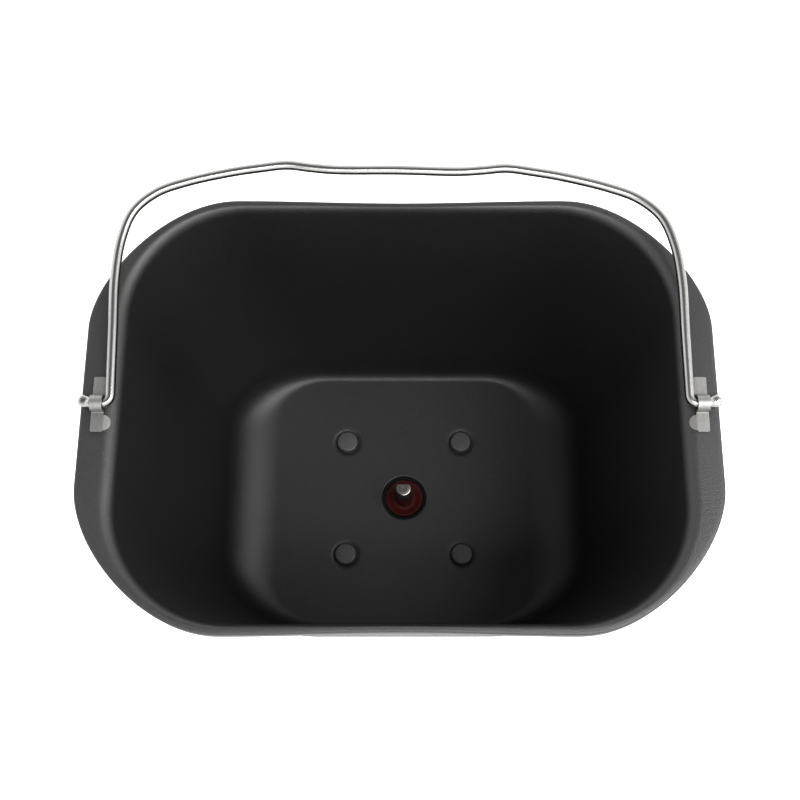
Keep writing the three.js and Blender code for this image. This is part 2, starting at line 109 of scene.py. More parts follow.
table_reach = 3.0
table_mesh = bpy.data.meshes.new("table")
table_mesh.from_pydata(
    [(-table_reach, -table_reach, 0), (table_reach, -table_reach, 0),
     (table_reach, table_reach, 0), (-table_reach, table_reach, 0)], [], [(0, 1, 2, 3)])
table = new_object("table", table_mesh)
table_paint, _, table_shader = new_material("table_paint")
table_shader.inputs["Base Color"].default_value = (0.93, 0.93, 0.93, 1)
table_shader.inputs["Roughness"].default_value = 0.9
table_shader.inputs["Emission Color"].default_value = (1, 1, 1, 1)
table_shader.inputs["Emission Strength"].default_value = 0.55
table_mesh.materials.append(table_paint)
table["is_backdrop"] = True

world = bpy.data.worlds.new("light_tent")
bpy.context.scene.world = world
world.use_nodes = True
tent = world.node_tree
tent.nodes["Background"].inputs["Color"].default_value = (1, 1, 1, 1)
tent_place = tent.nodes.new("ShaderNodeTexCoord")
tent_parts = tent.nodes.new("ShaderNodeSeparateXYZ")
tent_light = tent.nodes.new("ShaderNodeMapRange")
tent_light.interpolation_type = "SMOOTHSTEP"
tent_light.inputs["From Min"].default_value = 0.5
tent_light.inputs["From Max"].default_value = 0.95
tent_light.inputs["To Min"].default_value = 1.85
tent_light.inputs["To Max"].default_value = 0.27
wire(tent, tent_place.outputs["Generated"], tent_parts.inputs[0])
wire(tent, tent_parts.outputs["Z"], tent_light.inputs["Value"])
wire(tent, tent_light.outputs["Result"], tent.nodes["Background"].inputs["Strength"])


def area_lamp(name, place, aim, size, power):
    data = bpy.data.lights.new(name, "AREA")
    data.shape = "RECTANGLE"
    data.size, data.size_y = size
    data.energy = power
    lamp = bpy.data.objects.new(name, data)
    bpy.context.scene.collection.objects.link(lamp)
    lamp.location = place
    lamp.rotation_euler = (Vector(aim) - Vector(place)).to_track_quat("-Z", "Y").to_euler()
    return lamp


area_lamp("key_lamp", (0.65, -0.25, 1.05), (0, 0, 0.1), (0.6, 0.6), 11)
area_lamp("front_lamp", (0.1, -0.6, 1.15), (0, 0, 0.1), (0.5, 0.4), 7)
bpy.context.scene.view_settings.view_transform = "Standard"
bpy.context.scene.view_settings.gamma = 0.76


# ---- Pan body -------------------------------------------------------------------------------
# One deep-drawn aluminium sheet: a floor with wide fillets at its ends, flared walls, a rim
# rounded over to a flat flange and a turned-down lip. Inside and out it carries a sprayed
# non-stick coating, dark grey with a fine grain.

pan_wall = 1.2 * MM
pan_depth = 135 * MM
floor_z = rim_z - pan_depth

floor_half = Vector((74, 59)) * MM
floor_fillet = Vector((19, 5.5)) * MM
fillet_height = 14 * MM
flat_straight = Vector((34, 36)) * MM
foot_straight = Vector((35, 27)) * MM
rim_start = Vector((96.1, 72.1)) * MM
rim_round = Vector((5.0, 2.1)) * MM
rim_round_height = 5 * MM
rim_corner = 42 * MM
flange_half = Vector((103.8, 73.9)) * MM
flange_straight = Vector((56, 27)) * MM
flange_knee = Vector((24.3, 18.7)) * MM
flange_waist = 0.9 * MM
lip_height = 5 * MM
lip_thickness = 0.9 * MM
edge_round = 0.8 * MM
hole_radius = 9.5 * MM
hole_edge = 0.3 * MM
rivet_offset = 25 * MM
dimple_radius = 6.4 * MM
dimple_depth = 0.45 * MM

corner_steps = 28
end_steps = 6
side_steps = 14
quarter_steps = end_steps + corner_steps + side_steps


def bezier(start, start_pull, end_pull, end, share):
    rest = 1 - share
    return (start * rest ** 3 + start_pull * 3 * rest ** 2 * share
            + end_pull * 3 * rest * share ** 2 + end * share ** 3)


def whole_outline(quarter, z):
    """Mirrors a quarter outline, from +X to +Y, into a closed one."""
    half = [(p.x, p.y) for p in quarter[:-1]] + [(-p.x, p.y) for p in quarter[:0:-1]]
    return [(x, y, z) for x, y in half] + [(-x, -y, z) for x, y in half]


def soft_corner_outline(half, straight, knee, z, waist=0.0):
    quarter = [Vector((half.x, straight.y * step / end_steps)) for step in range(end_steps)]
    start = Vector((half.x, straight.y))
    end = Vector((straight.x, half.y))
    for step in range(corner_steps + 1):
        quarter.append(bezier(start, start + Vector((0, knee.y)), end + Vector((knee.x, 0)), end,
                              step / corner_steps))
    for step in range(1, side_steps + 1):
        along = 1 - step / side_steps
        drawn_in = waist * (0.5 + 0.5 * math.cos(math.pi * along))
        quarter.append(Vector((straight.x * along, half.y - drawn_in)))
    return whole_outline(quarter, z)


def soft_rectangle(half, straight, z):
    """A rectangle with elliptical corners, from the half lengths of its straight edges."""
    return soft_corner_outline(half, straight, 0.5523 * (half - straight), z)


def flange_outline(inset, z):
    inward = Vector((inset, inset))
    return soft_corner_outline(flange_half - inward, flange_straight, flange_knee - 0.55 * inward,
                               z, flange_waist)


def circle_outline(radius, z):
    quarter = []
    for step in range(quarter_steps + 1):
        angle = math.pi / 2 * step / quarter_steps
        quarter.append(Vector((math.cos(angle), math.sin(angle))) * radius)
    return whole_outline(quarter, z)


wall_rise = pan_depth - rim_round_height
slope = (rim_start - rim_round - floor_half) / wall_rise


def wall_outlines(offset, fillet_steps=22, wall_steps=12, round_steps=14):
    """The pan's inside when offset is 0, or its outside when it is the wall's thickness."""
    grow = Vector((offset, offset))
    outlines = []
    for step in range(fillet_steps + 1):
        angle = math.pi / 2 * step / fillet_steps
        height = (fillet_height + offset) * (1 - math.cos(angle))
        inward = 1 - math.sin(angle)
        half = floor_half + grow + slope * height - (floor_fillet + grow) * inward
        straight = foot_straight.lerp(flat_straight, inward)
        outlines.append((half, straight, floor_z - offset + height))
    draft = math.atan(slope.x)
    rounding = []
    for step in range(round_steps + 1):
        angle = draft + step / round_steps * (math.pi / 2 - draft)
        half = rim_start - (rim_round - grow) * math.cos(angle)
        corner = rim_corner - (rim_start.x - half.x) * 0.6
        drop = (rim_round_height - offset) * (1 - math.sin(angle))
        rounding.append((half, half - Vector((corner, corner)), rim_z - offset - drop))
    foot, head = outlines[-1], rounding[0]
    for step in range(1, wall_steps):
        share = step / wall_steps
        outlines.append(tuple(a * (1 - share) + b * share for a, b in zip(foot, head)))
    return [soft_rectangle(*values) for values in outlines + rounding]


def loft(name, outlines, closed=True):
    """A mesh through outlines with equal counts of points; closed joins the last to the first."""
    count = len(outlines[0])
    points = [point for outline in outlines for point in outline]
    faces = []
    levels = len(outlines) if closed else len(outlines) - 1
    for level in range(levels):
        here = level * count
        there = (level + 1) % len(outlines) * count
        for i in range(count):
            j = (i + 1) % count
            faces.append((here + i, there + i, there + j, here + j))
    mesh = bpy.data.meshes.new(name)
    mesh.from_pydata(points, [], faces)
    return mesh


def finish_mesh(mesh, sharp_angle=40):
    """Welds doubled points, turns the faces outwards and shades smooth up to the angle."""
    work = bmesh.new()
    work.from_mesh(mesh)
    bmesh.ops.remove_doubles(work, verts=work.verts, dist=0.002 * MM)
    bmesh.ops.recalc_face_normals(work, faces=work.faces)
    work.to_mesh(mesh)
    work.free()
    mesh.shade_smooth()
    mesh.set_sharp_from_angle(angle=math.radians(sharp_angle))
    mesh.update()
    return mesh


def floor_rings(outer_outline, inner_radius, z, steps):
    """Outlines that turn a circle slowly into the floor's outline, sunk a little at the rivets."""
    ring = circle_outline(inner_radius, z)
    made = []
    for step in range(1, steps):
        share = step / steps
        outline = []
        for p, q in zip(ring, outer_outline):
            x = p[0] * (1 - share) + q[0] * share
            y = p[1] * (1 - share) + q[1] * share
            away = math.hypot(abs(x) - rivet_offset, abs(y) - rivet_offset)
            rise = min(max((away - 0.68 * dimple_radius) / (0.32 * dimple_radius), 0), 1)
            outline.append((x, y, z - dimple_depth * (1 - rise * rise * (3 - 2 * rise))))
        made.append(outline)
    return made


inside = wall_outlines(0.0)
outside = wall_outlines(pan_wall)
under_floor = floor_z - pan_wall
under_flange = rim_z - pan_wall
pan_outlines = [
    circle_outline(hole_radius, under_floor),
    circle_outline(hole_radius, floor_z - hole_edge),
    circle_outline(hole_radius + 0.3 * hole_edge, floor_z - 0.3 * hole_edge),
    circle_outline(hole_radius + hole_edge, floor_z),
    *floor_rings(inside[0], hole_radius + hole_edge, floor_z, 70),
    *inside,
    flange_outline(edge_round + 1.0 * MM, rim_z),
    flange_outline(edge_round, rim_z - 0.02 * MM),
    flange_outline(0.5 * edge_round, rim_z - 0.14 * edge_round),
    flange_outline(0.14 * edge_round, rim_z - 0.5 * edge_round),
    flange_outline(0, rim_z - edge_round),
    flange_outline(0, rim_z - 2 * edge_round),
    flange_outline(0, rim_z - lip_height + 0.2 * MM),
    flange_outline(0.25 * MM, rim_z - lip_height),
    flange_outline(lip_thickness - 0.2 * MM, rim_z - lip_height),
    flange_outline(lip_thickness, rim_z - lip_height + 0.2 * MM),
    flange_outline(lip_thickness, under_flange),
    *outside[::-1],
    *floor_rings(outside[0], hole_radius, under_floor, 30)[::-1],
]
pan_shell = new_object("coated_pan", finish_mesh(loft("coated_pan", pan_outlines)))


def grain_group():
    """Sprayed coating: a fine grain in tone, a height for the bump and slow cloudy change."""
    group = bpy.data.node_groups.new("sprayed_grain", "ShaderNodeTree")
    face = group.interface
    face.new_socket("Grain per metre", in_out="INPUT", socket_type="NodeSocketFloat")
    face.new_socket("Dark", in_out="INPUT", socket_type="NodeSocketColor")
    face.new_socket("Light", in_out="INPUT", socket_type="NodeSocketColor")
    face.new_socket("Color", in_out="OUTPUT", socket_type="NodeSocketColor")
    face.new_socket("Roughness", in_out="OUTPUT", socket_type="NodeSocketFloat")
    face.new_socket("Height", in_out="OUTPUT", socket_type="NodeSocketFloat")
    nodes = group.nodes
    inputs = nodes.new("NodeGroupInput")
    outputs = nodes.new("NodeGroupOutput")
    place = nodes.new("ShaderNodeTexCoord")

    grain = nodes.new("ShaderNodeTexNoise")
    grain.inputs["Detail"].default_value = 3
    grain.inputs["Roughness"].default_value = 0.65
    wire(group, place.outputs["Object"], grain.inputs["Vector"])
    wire(group, inputs.outputs["Grain per metre"], grain.inputs["Scale"])

    fleck = nodes.new("ShaderNodeTexVoronoi")
    fleck_scale = nodes.new("ShaderNodeMath")
    fleck_scale.operation = "MULTIPLY"
    fleck_scale.inputs[1].default_value = 1.7
    wire(group, inputs.outputs["Grain per metre"], fleck_scale.inputs[0])
    wire(group, fleck_scale.outputs[0], fleck.inputs["Scale"])
    wire(group, place.outputs["Object"], fleck.inputs["Vector"])

    cloud = nodes.new("ShaderNodeTexNoise")
    cloud.inputs["Scale"].default_value = 28
    cloud.inputs["Detail"].default_value = 4
    wire(group, place.outputs["Object"], cloud.inputs["Vector"])

    spread = nodes.new("ShaderNodeMapRange")
    spread.inputs["From Min"].default_value = 0.3
    spread.inputs["From Max"].default_value = 0.7
    wire(group, grain.outputs["Fac"], spread.inputs["Value"])
    tone = nodes.new("ShaderNodeMix")
    tone.data_type = "RGBA"
    wire(group, spread.outputs["Result"], tone.inputs["Factor"])
    wire(group, inputs.outputs["Dark"], tone.inputs["A"])
    wire(group, inputs.outputs["Light"], tone.inputs["B"])
    wire(group, tone.outputs["Result"], outputs.inputs["Color"])

    rough = nodes.new("ShaderNodeMapRange")
    rough.inputs["To Min"].default_value = 0.46
    rough.inputs["To Max"].default_value = 0.56
    wire(group, cloud.outputs["Fac"], rough.inputs["Value"])
    wire(group, rough.outputs["Result"], outputs.inputs["Roughness"])

    height = nodes.new("ShaderNodeMath")
    height.operation = "ADD"
    wire(group, grain.outputs["Fac"], height.inputs[0])
    wire(group, fleck.outputs["Distance"], height.inputs[1])
    wire(group, height.outputs[0], outputs.inputs["Height"])
    return group


sprayed_grain = grain_group()


def coating(name, dark, light, bump):
    material, tree, shader = new_material(name)
    grain = tree.nodes.new("ShaderNodeGroup")
    grain.node_tree = sprayed_grain
    grain.inputs["Grain per metre"].default_value = 1600
    grain.inputs["Dark"].default_value = dark
    grain.inputs["Light"].default_value = light
    relief = tree.nodes.new("ShaderNodeBump")
    relief.inputs["Strength"].default_value = bump
    relief.inputs["Distance"].default_value = 0.07 * MM
    wire(tree, grain.outputs["Color"], shader.inputs["Base Color"])
    wire(tree, grain.outputs["Roughness"], shader.inputs["Roughness"])
    wire(tree, grain.outputs["Height"], relief.inputs["Height"])
    wire(tree, relief.outputs["Normal"], shader.inputs["Normal"])
    shader.inputs["IOR"].default_value = 1.6
    shader.inputs["Specular IOR Level"].default_value = 0.9
    return material


pan_coating = coating("non_stick_coating", (0.002, 0.002, 0.0021, 1), (0.015, 0.015, 0.0154, 1), 0.9)
pan_shell.data.materials.append(pan_coating)
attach(pan_shell, "pan")
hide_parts("pan_body")


# ---- Rivets ---------------------------------------------------------------------------------
# Four rivets through the floor, the base ring and the bearing housing. The heads are low and
# flat with sloping sides, coated with the pan; the clinched tails below stay bare. The heads'
# coating is painted lighter than the pan's, a painted highlight for the light on their flat tops.

rivet_head_base = 4.9 * MM
rivet_head_top = 4.15 * MM
rivet_shank = 2.2 * MM
rivet_tail = 3.8 * MM
base_height = floor_z - pan_wall
housing_plate_under = 20 * MM


def soften(corners, radius, steps=3):
    """Rounds the corners of a closed outline of pairs; a corner on the axis stays as it is."""
    made = []
    for i, corner in enumerate(corners):
        here = Vector(corner)
        before = Vector(corners[i - 1]) - here
        after = Vector(corners[(i + 1) % len(corners)]) - here
        if here.x == 0:
            made.append(corner)
            continue
        start = here + before.normalized() * min(radius, 0.45 * before.length)
        end = here + after.normalized() * min(radius, 0.45 * after.length)
        for step in range(steps + 1):
            share = step / steps
            made.append(tuple(start * (1 - share) ** 2 + here * 2 * share * (1 - share)
                              + end * share ** 2))
    return made


def lathe(name, profile, segments=96):
    """A body of revolution about Z; the profile of (radius, height) closes on itself."""
    outlines = []
    for radius, z in profile:
        turns = [2 * math.pi * step / segments for step in range(segments)]
        outlines.append([(radius * math.cos(turn), radius * math.sin(turn), z) for turn in turns])
    return finish_mesh(loft(name, outlines))


head_low = floor_z - dimple_depth
head_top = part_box("pan_rivet_front_left")[1].z
tail_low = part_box("pan_rivet_front_left")[0].z
rivet_profile = soften([
    (0, tail_low),
    (rivet_tail - 1.2 * MM, tail_low),
    (rivet_tail, tail_low + 1.0 * MM),
    (rivet_tail, housing_plate_under),
    (rivet_shank, housing_plate_under),
    (rivet_shank, head_low),
    (rivet_head_base, head_low),
    (rivet_head_base - 0.25 * MM, head_top - 0.6 * MM),
    (rivet_head_top, head_top),
    (0, head_top),
], 0.35 * MM)
# The pan's coating painted several times lighter: a painted highlight on the rivet heads.
rivet_coating_painted_highlight = coating("rivet_coating_painted_highlight", (0.045, 0.045, 0.046, 1), (0.12, 0.12, 0.123, 1), 0.3)


def metal_group():
    """Bare metal: streaks or spots where Place is stretched, under slow change of tone."""
    group = bpy.data.node_groups.new("bare_metal", "ShaderNodeTree")
    face = group.interface
    face.new_socket("Place", in_out="INPUT", socket_type="NodeSocketVector")
    face.new_socket("Dark", in_out="INPUT", socket_type="NodeSocketColor")
    face.new_socket("Light", in_out="INPUT", socket_type="NodeSocketColor")
    face.new_socket("Smooth", in_out="INPUT", socket_type="NodeSocketFloat")
    face.new_socket("Rough", in_out="INPUT", socket_type="NodeSocketFloat")
    face.new_socket("Color", in_out="OUTPUT", socket_type="NodeSocketColor")
    face.new_socket("Roughness", in_out="OUTPUT", socket_type="NodeSocketFloat")
    face.new_socket("Height", in_out="OUTPUT", socket_type="NodeSocketFloat")
    nodes = group.nodes
    inputs = nodes.new("NodeGroupInput")
    outputs = nodes.new("NodeGroupOutput")

    streak = nodes.new("ShaderNodeTexNoise")
    streak.inputs["Scale"].default_value = 1
    streak.inputs["Detail"].default_value = 4
    streak.inputs["Roughness"].default_value = 0.6
    wire(group, inputs.outputs["Place"], streak.inputs["Vector"])

    place = nodes.new("ShaderNodeTexCoord")
    cloud = nodes.new("ShaderNodeTexNoise")
    cloud.inputs["Scale"].default_value = 90
    cloud.inputs["Detail"].default_value = 3
    wire(group, place.outputs["Object"], cloud.inputs["Vector"])

    both = nodes.new("ShaderNodeMix")
    both.inputs["Factor"].default_value = 0.35
    wire(group, streak.outputs["Fac"], both.inputs["A"])
    wire(group, cloud.outputs["Fac"], both.inputs["B"])
    spread = nodes.new("ShaderNodeMapRange")
    spread.inputs["From Min"].default_value = 0.32
    spread.inputs["From Max"].default_value = 0.68
    wire(group, both.outputs["Result"], spread.inputs["Value"])

    tone = nodes.new("ShaderNodeMix")
    tone.data_type = "RGBA"
    wire(group, spread.outputs["Result"], tone.inputs["Factor"])
    wire(group, inputs.outputs["Dark"], tone.inputs["A"])
    wire(group, inputs.outputs["Light"], tone.inputs["B"])
    wire(group, tone.outputs["Result"], outputs.inputs["Color"])

    rough = nodes.new("ShaderNodeMapRange")
    wire(group, spread.outputs["Result"], rough.inputs["Value"])
    wire(group, inputs.outputs["Rough"], rough.inputs["To Min"])
    wire(group, inputs.outputs["Smooth"], rough.inputs["To Max"])
    wire(group, rough.outputs["Result"], outputs.inputs["Roughness"])
    wire(group, streak.outputs["Fac"], outputs.inputs["Height"])
    return group


bare_metal = metal_group()


def metal(name, dark, light, roughness, marks, bump, coordinates="Object", turned=False):
    """Marks is how many run across a metre, for each of the three directions. On a turned
    surface the first direction is the distance from the Z axis and the last is the height."""
    material, tree, shader = new_material(name)
    place = tree.nodes.new("ShaderNodeTexCoord")
    source = place.outputs[coordinates]
    if turned:
        flat = tree.nodes.new("ShaderNodeVectorMath")
        flat.operation = "MULTIPLY"
        flat.inputs[1].default_value = (1, 1, 0)
        wire(tree, source, flat.inputs[0])
        radius = tree.nodes.new("ShaderNodeVectorMath")
        radius.operation = "LENGTH"
        wire(tree, flat.outputs["Vector"], radius.inputs[0])
        parts = tree.nodes.new("ShaderNodeSeparateXYZ")
        wire(tree, source, parts.inputs[0])
        around = tree.nodes.new("ShaderNodeCombineXYZ")
        wire(tree, radius.outputs["Value"], around.inputs["X"])
        wire(tree, parts.outputs["Z"], around.inputs["Z"])
        source = around.outputs["Vector"]
    stretch = tree.nodes.new("ShaderNodeMapping")
    stretch.inputs["Scale"].default_value = marks
    wire(tree, source, stretch.inputs["Vector"])
    surface = tree.nodes.new("ShaderNodeGroup")
    surface.node_tree = bare_metal
    surface.inputs["Dark"].default_value = dark
    surface.inputs["Light"].default_value = light
    surface.inputs["Smooth"].default_value = roughness[0]
    surface.inputs["Rough"].default_value = roughness[1]
    wire(tree, stretch.outputs["Vector"], surface.inputs["Place"])
    relief = tree.nodes.new("ShaderNodeBump")
    relief.inputs["Strength"].default_value = bump
    relief.inputs["Distance"].default_value = 0.02 * MM
    wire(tree, surface.outputs["Height"], relief.inputs["Height"])
    wire(tree, surface.outputs["Color"], shader.inputs["Base Color"])
    wire(tree, surface.outputs["Roughness"], shader.inputs["Roughness"])
    wire(tree, relief.outputs["Normal"], shader.inputs["Normal"])
    shader.inputs["Metallic"].default_value = 1.0
    return material


rivet_metal = metal("rivet_metal", (0.42, 0.42, 0.43, 1), (0.62, 0.62, 0.63, 1), (0.35, 0.5),
                    (900, 900, 900), 0.3)

for end, side_y in (("front", -1), ("back", 1)):
    for side, side_x in (("left", -1), ("right", 1)):
        name = f"coated_rivet_{end}_{side}"
        rivet_mesh = lathe(name, rivet_profile, 64)
        rivet_mesh.materials.append(rivet_coating_painted_highlight)
        rivet_mesh.materials.append(rivet_metal)
        for face in rivet_mesh.polygons:
            face.material_index = 0 if face.center.z > under_floor else 1
        rivet = new_object(name, rivet_mesh)
        rivet.location = (side_x * rivet_offset, side_y * rivet_offset, 0)
        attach(rivet, "pan")
        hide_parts(f"pan_rivet_{end}_{side}")


# ---- Base ring ------------------------------------------------------------------------------
# Pressed aluminium ring under the floor, with a turned-in foot. Four lugs are pressed out of its
# skirt, which a quarter turn locks under the machine's spring clips.

ring_outer = 44 * MM
ring_sheet = 1.2 * MM
ring_foot = 4.5 * MM
ring_bore = 13 * MM
ring_top = base_height - 0.3 * MM
ring_under = ring_top - ring_sheet
ring_inner = ring_outer - ring_sheet
lug_low = 5 * MM
lug_high = 10 * MM
lug_half_width = 6 * MM
lug_reach = 3 * MM
skirt_step = 0.35 * MM


def divide_upright(profile, step):
    """Adds rows of points along a profile's upright edges, so that the sheet can be pressed there."""
    made = []
    for (radius, z), (next_radius, next_z) in zip(profile, profile[1:] + profile[:1]):
        rows = 1
        if abs(next_radius - radius) < 0.01 * MM:
            rows = max(round(abs(next_z - z) / step), 1)
        for row in range(rows):
            made.append((radius, z + (next_z - z) * row / rows))
    return made


ring_profile = divide_upright(soften([
    (ring_outer - ring_foot, ring_sheet),
    (ring_outer - ring_foot, 0),
    (ring_outer, 0),
    (ring_outer, ring_top),
    (ring_bore, ring_top),
    (ring_bore, ring_under),
    (ring_inner, ring_under),
    (ring_inner, ring_sheet),
], 1.4 * MM, 5), skirt_step)
ring_mesh = lathe("pressed_ring", ring_profile, 288)


def press_out(point):
    """How far the skirt is pushed outwards at a point, from 0 to 1, with short sloped edges."""
    turn = math.atan2(point.y, point.x)
    from_middle = ((turn - math.pi / 4) + math.pi / 4) % (math.pi / 2) - math.pi / 4
    along = (lug_half_width - abs(from_middle) * ring_outer) / (1.6 * MM)
    middle = 0.5 * (lug_low + lug_high)
    up = (0.5 * (lug_high - lug_low) - abs(point.z - middle)) / (0.8 * MM)
    amount = min(max(along, 0), 1) * min(max(up, 0), 1)
    return amount * amount * (3 - 2 * amount)


for vertex in ring_mesh.vertices:
    radius = math.hypot(vertex.co.x, vertex.co.y)
    if radius > ring_inner - 0.1 * MM:
        grown = 1 + lug_reach * press_out(vertex.co) / radius
        vertex.co.x *= grown
        vertex.co.y *= grown
ring_mesh.update()
base_ring = new_object("pressed_ring", ring_mesh)
ring_mesh.materials.append(metal(
    "pressed_aluminium", (0.4, 0.4, 0.41, 1), (0.66, 0.66, 0.67, 1), (0.3, 0.48),
    (160, 160, 2600), 0.35))
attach(base_ring, "pan")
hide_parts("base_ring")


# ---- Bearing housing ------------------------------------------------------------------------
# Die-cast aluminium: a square plate with round corners, a boss for the two bushes and four ribs
# between them. It is cast in one piece, so every inner corner is rounded.

plate_half = 31 * MM
plate_corner = 6.5 * MM
plate_top = ring_under - 0.3 * MM
boss_low = 11.6 * MM
boss_radius = 11 * MM
neck_radius = 12.7 * MM
neck_top = base_height - 1.4 * MM
bush_bore = 6.3 * MM
pocket_radius = 7.9 * MM
pocket_low = 19.5 * MM
rib_half = 2 * MM
rib_reach = 27 * MM
rib_depth = 3 * MM
casting_grain = 0.42 * MM


def rounded_square(half, corner, z):
    straight = half - corner
    return soft_rectangle(Vector((half, half)), Vector((straight, straight)), z)


plate_outlines = [
    circle_outline(bush_bore + 1 * MM, housing_plate_under),
    rounded_square(plate_half - 0.4 * MM, plate_corner, housing_plate_under),
    rounded_square(plate_half, plate_corner, housing_plate_under + 0.4 * MM),
    rounded_square(plate_half, plate_corner, plate_top - 0.4 * MM),
    rounded_square(plate_half - 0.4 * MM, plate_corner, plate_top),
    circle_outline(pocket_radius + 1 * MM, plate_top),
]
boss_profile = [
    (bush_bore, boss_low),
    (boss_radius - 1 * MM, boss_low),
    (boss_radius, boss_low + 1 * MM),
    (boss_radius + 1.5 * MM, housing_plate_under + 0.5 * MM),
    (neck_radius, housing_plate_under + 0.5 * MM),
    (neck_radius, neck_top),
    (pocket_radius, neck_top),
    (pocket_radius, pocket_low),
    (bush_bore, pocket_low),
]


def add_box(work, low, high, turn=0.0):
    size = [b - a for a, b in zip(low, high)]
    middle = [(a + b) / 2 for a, b in zip(low, high)]
    place = Matrix.Rotation(turn, 4, "Z") @ Matrix.Translation(middle) @ Matrix.Diagonal((*size, 1))
    bmesh.ops.create_cube(work, size=1, matrix=place)


def settle(piece):
    """Replaces a piece's mesh by what its modifiers make of it."""
    graph = bpy.context.evaluated_depsgraph_get()
    made = bpy.data.meshes.new_from_object(piece.evaluated_get(graph))
    piece.modifiers.clear()
    piece.data = made
    return piece


casting = bmesh.new()
casting.from_mesh(finish_mesh(loft("plate", plate_outlines)))
casting.from_mesh(lathe("boss", boss_profile))
for quarter in range(4):
    add_box(casting, (bush_bore + 1.5 * MM, -rib_half, housing_plate_under - rib_depth),
            (rib_reach, rib_half, housing_plate_under + 0.5 * MM), quarter * math.pi / 2)
housing_mesh = bpy.data.meshes.new("cast_housing")
casting.to_mesh(housing_mesh)
casting.free()
housing = new_object("cast_housing", housing_mesh)
as_one = housing.modifiers.new("as_one", "REMESH")
as_one.mode = "VOXEL"
as_one.voxel_size = casting_grain
rounding = housing.modifiers.new("rounding", "SMOOTH")
rounding.factor = 0.5
rounding.iterations = 4
settle(housing)
housing.data.shade_smooth()
housing.data.materials.append(metal(
    "cast_aluminium", (0.27, 0.27, 0.28, 1), (0.46, 0.46, 0.47, 1), (0.45, 0.65),
    (1500, 1500, 1500), 0.8))
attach(housing, "pan")
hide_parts("bearing_housing")


# ---- Bushes ---------------------------------------------------------------------------------
# Two bushes of oil-filled sintered bronze, pressed into the housing from each end.

bush_outer = bush_bore - 0.3 * MM
bush_inner = 4.15 * MM
bush_edge = 0.25 * MM
lower_bush_profile = soften([
    (bush_inner, 10.3 * MM),
    (8 * MM, 10.3 * MM),
    (8 * MM, 11.3 * MM),
    (bush_outer, 11.3 * MM),
    (bush_outer, 15 * MM),
    (bush_inner, 15 * MM),
], bush_edge)
upper_bush_profile = soften([
    (bush_inner, 15.5 * MM),
    (bush_outer, 15.5 * MM),
    (bush_outer, 19.8 * MM),
    (7.6 * MM, 19.8 * MM),
    (7.6 * MM, 20.6 * MM),
    (bush_inner, 20.6 * MM),
], bush_edge)
bronze = metal("oiled_bronze", (0.2, 0.11, 0.045, 1), (0.46, 0.28, 0.13, 1), (0.35, 0.6),
               (3200, 3200, 3200), 0.7)
for node, profile in (("lower_bush", lower_bush_profile), ("upper_bush", upper_bush_profile)):
    bush = new_object(f"bronze_{node}", lathe(f"bronze_{node}", profile))
    bush.data.materials.append(bronze)
    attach(bush, "pan")
    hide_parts(node)


# ---- Gasket and shaft seal ------------------------------------------------------------------
# A silicone ring is squeezed between the housing's neck and the floor, and shows round the
# hole's edge; its near-black colour is painted shade, standing for the shadow deep in that gap.
# Inside it lies the red silicone seal, dished down to its lip on the shaft.

shaft_radius = 3.15 * MM
gasket_profile = soften([
    (8.4 * MM, 23.0 * MM), (12.4 * MM, 23.0 * MM), (12.4 * MM, 24.2 * MM), (8.4 * MM, 24.2 * MM),
], 0.3 * MM)
seal_rim = floor_z - 0.6 * MM
seal_profile = soften([
    (shaft_radius + 0.06 * MM, 23.6 * MM),
    (5.8 * MM, 22.7 * MM),
    (7.6 * MM, 22.7 * MM),
    (7.6 * MM, 23.2 * MM),
    (8.0 * MM, 23.2 * MM),
    (8.0 * MM, seal_rim),
    (7.2 * MM, seal_rim),
    (5.1 * MM, seal_rim - 0.9 * MM),
    (4.1 * MM, seal_rim - 0.6 * MM),
    (shaft_radius + 0.06 * MM, seal_rim - 0.75 * MM),
], 0.3 * MM, 5)


def rubber(name, dark, light, bump):
    """Moulded silicone: matt, with faint cloudy patches and a fine moulded skin."""
    material, tree, shader = new_material(name)
    place = tree.nodes.new("ShaderNodeTexCoord")
    patches = tree.nodes.new("ShaderNodeTexNoise")
    patches.inputs["Scale"].default_value = 420
    patches.inputs["Detail"].default_value = 4
    wire(tree, place.outputs["Object"], patches.inputs["Vector"])
    tone = tree.nodes.new("ShaderNodeMix")
    tone.data_type = "RGBA"
    tone.inputs["A"].default_value = dark
    tone.inputs["B"].default_value = light
    wire(tree, patches.outputs["Fac"], tone.inputs["Factor"])
    wire(tree, tone.outputs["Result"], shader.inputs["Base Color"])
    skin = tree.nodes.new("ShaderNodeTexNoise")
    skin.inputs["Scale"].default_value = 2600
    wire(tree, place.outputs["Object"], skin.inputs["Vector"])
    rough = tree.nodes.new("ShaderNodeMapRange")
    rough.inputs["To Min"].default_value = 0.5
    rough.inputs["To Max"].default_value = 0.75
    wire(tree, skin.outputs["Fac"], rough.inputs["Value"])
    wire(tree, rough.outputs["Result"], shader.inputs["Roughness"])
    relief = tree.nodes.new("ShaderNodeBump")
    relief.inputs["Strength"].default_value = bump
    relief.inputs["Distance"].default_value = 0.03 * MM
    wire(tree, skin.outputs["Fac"], relief.inputs["Height"])
    wire(tree, relief.outputs["Normal"], shader.inputs["Normal"])
    shader.inputs["Specular IOR Level"].default_value = 0.35
    return material


# Near-black colour: painted shade for the deep gap between the hole's edge and the seal.
gasket = new_object("gap_shade_gasket", lathe("gap_shade_gasket", gasket_profile))
gasket.data.materials.append(rubber("black_silicone", (0.004, 0.004, 0.004, 1), (0.01, 0.01, 0.01, 1), 0.3))
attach(gasket, "pan")
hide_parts("floor_gasket")

